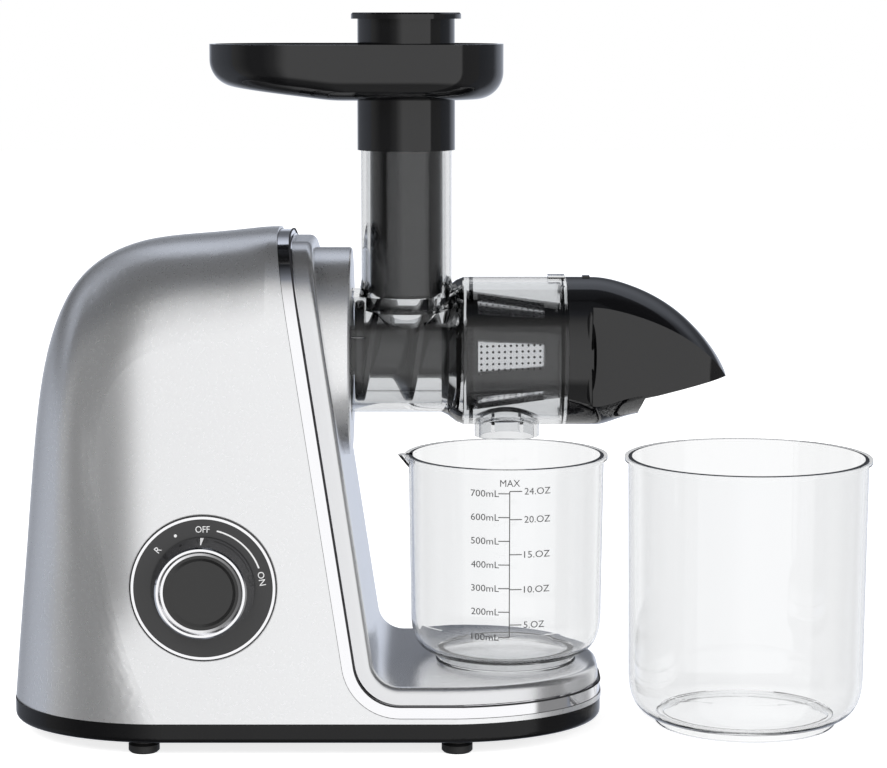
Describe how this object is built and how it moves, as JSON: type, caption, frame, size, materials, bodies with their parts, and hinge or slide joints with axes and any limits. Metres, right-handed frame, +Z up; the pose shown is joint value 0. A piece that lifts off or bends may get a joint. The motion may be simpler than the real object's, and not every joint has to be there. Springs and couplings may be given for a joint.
{
  "type": "cold press juicer",
  "caption": "Horizontal cold press juicer: motor base with rotary dial, clear drum with auger and strainer, feed tray, pusher, pulp spout and clear cups.",
  "frame": {"origin": "centre of the footprint box on the surface it stands on", "axes": "+X along the auger axis towards the pulp spout, -Y the side with the dial, +Z up"},
  "size_m": [0.4548, 0.1604, 0.3766],
  "materials": {
    "black_base": "satin black moulding",
    "foot_rubber": "matte",
    "screw_steel": "zinc plated",
    "silver_body": "silver metallic paint, satin gloss",
    "trim_chrome": "chrome plated moulding",
    "silver_frame": "silver metallic paint, satin gloss",
    "silver_boss": "silver metallic paint, satin gloss",
    "dial_black": "black with printed marks",
    "ring_chrome": "polished",
    "switch_black": "moulded",
    "knob_chrome": "chrome plated moulding",
    "knob_black": "satin",
    "shaft_steel": "turned",
    "gear_steel": "sintered steel",
    "gear_nylon": "natural nylon",
    "gearbox_plastic": "glass-filled nylon",
    "bearing_steel": "ground steel",
    "coupling_nylon": "glass-filled nylon",
    "motor_steel": "zinc plated",
    "magnet_grey": "ferrite",
    "rotor_steel": "laminated",
    "fan_plastic": "moulded",
    "cradle_steel": "zinc plated sheet",
    "board_green": "circuit board",
    "gland_black": "matte",
    "drum_clear": "clear moulded plastic",
    "seal_silicone": "silicone",
    "cage_black": "gloss",
    "mesh_steel": "perforated sheet",
    "auger_black": "satin",
    "cap_black": "high gloss",
    "tray_black": "high gloss",
    "pusher_black": "high gloss",
    "cup_clear": "clear moulded plastic with printed scale",
    "pulp_clear": "clear moulded plastic"
  },
  "bodies": {
    "base": {"base_tray": "black_base", "rubber_feet": "foot_rubber", "base_screws": "screw_steel", "main_housing": "silver_body", "chrome_trim": "trim_chrome", "front_frame": "silver_frame", "coupling_boss": "silver_boss", "dial_plate": "dial_black", "dial_ring": "ring_chrome", "rotary_switch": "switch_black", "ring_gear": "gear_steel", "gearbox_housing": "gearbox_plastic", "gearbox_cover": "gearbox_plastic", "gearbox_screws": "screw_steel", "output_bearing": "bearing_steel", "motor_case": "motor_steel", "motor_bearings": "bearing_steel", "motor_magnets": "magnet_grey", "motor_cradle": "cradle_steel", "control_board": "board_green", "cord_gland": "gland_black"},
    "knob": {"knob_ring": "knob_chrome", "knob_cap": "knob_black", "knob_shaft": "shaft_steel"},
    "rotor": {"motor_rotor": "rotor_steel", "cooling_fan": "fan_plastic", "sun_gear": "gear_steel"},
    "planet_1": {"planet_gear_1": "gear_nylon"},
    "planet_2": {"planet_gear_2": "gear_nylon"},
    "planet_3": {"planet_gear_3": "gear_nylon"},
    "drive": {"auger": "auger_black", "auger_shaft": "shaft_steel", "output_coupling": "coupling_nylon", "planet_carrier": "gear_steel"},
    "head": {"juicing_drum": "drum_clear", "drum_chute": "drum_clear", "juice_nozzle": "drum_clear", "drum_seal": "seal_silicone", "strainer_cage": "cage_black", "strainer_end": "cage_black", "strainer_mesh": "mesh_steel"},
    "cap": {"front_cap": "cap_black"},
    "tray": {"feed_tray": "tray_black"},
    "pusher": {"pusher": "pusher_black"},
    "juice_cup": {"juice_cup": "cup_clear"},
    "pulp_cup": {"pulp_cup": "pulp_clear"}
  },
  "joints": [
    {"name": "auger_spin", "type": "hinge", "parent": "base", "child": "drive", "pos_m": [0, 0.00729, 0.2006], "axis": [1, 0, 0], "continuous": true},
    {"name": "motor_spin", "type": "hinge", "parent": "base", "child": "rotor", "pos_m": [-0.15, 0.00729, 0.2006], "axis": [1, 0, 0], "continuous": true},
    {"name": "planet_1_spin", "type": "hinge", "parent": "drive", "child": "planet_1", "pos_m": [-0.106, 0.02604, 0.2006], "axis": [1, 0, 0], "continuous": true},
    {"name": "planet_2_spin", "type": "hinge", "parent": "drive", "child": "planet_2", "pos_m": [-0.106, -0.00208, 0.21684], "axis": [1, 0, 0], "continuous": true},
    {"name": "planet_3_spin", "type": "hinge", "parent": "drive", "child": "planet_3", "pos_m": [-0.106, -0.00208, 0.18436], "axis": [1, 0, 0], "continuous": true},
    {"name": "knob_turn", "type": "hinge", "parent": "base", "child": "knob", "pos_m": [-0.1216, -0.06239, 0.088], "axis": [0, -0.9992, 0.0401], "range_deg": [-80, 50]},
    {"name": "head_turn", "type": "hinge", "parent": "base", "child": "head", "pos_m": [-0.055, 0.00729, 0.2006], "axis": [1, 0, 0], "range_deg": [0, 40]},
    {"name": "cap_turn", "type": "hinge", "parent": "head", "child": "cap", "pos_m": [0.068, 0.00729, 0.2006], "axis": [1, 0, 0], "range_deg": [0, 30]},
    {"name": "tray_lift", "type": "slide", "parent": "head", "child": "tray", "axis": [0, 0, 1], "range_m": [0, 0.06]},
    {"name": "pusher_lift", "type": "slide", "parent": "tray", "child": "pusher", "axis": [0, 0, 1], "range_m": [0, 0.15]},
    {"name": "juice_cup_slide", "type": "slide", "parent": "base", "child": "juice_cup", "axis": [0, -1, 0], "range_m": [0, 0.16]},
    {"name": "pulp_cup_slide", "type": "slide", "parent": "base", "child": "pulp_cup", "axis": [1, 0, 0], "range_m": [0, 0.1]}
  ],
  "couplings": [
    {"joint": "motor_spin", "follows": "auger_spin", "ratio": 5},
    {"joint": "planet_1_spin", "follows": "auger_spin", "ratio": -2.6667},
    {"joint": "planet_2_spin", "follows": "auger_spin", "ratio": -2.6667},
    {"joint": "planet_3_spin", "follows": "auger_spin", "ratio": -2.6667}
  ]
}
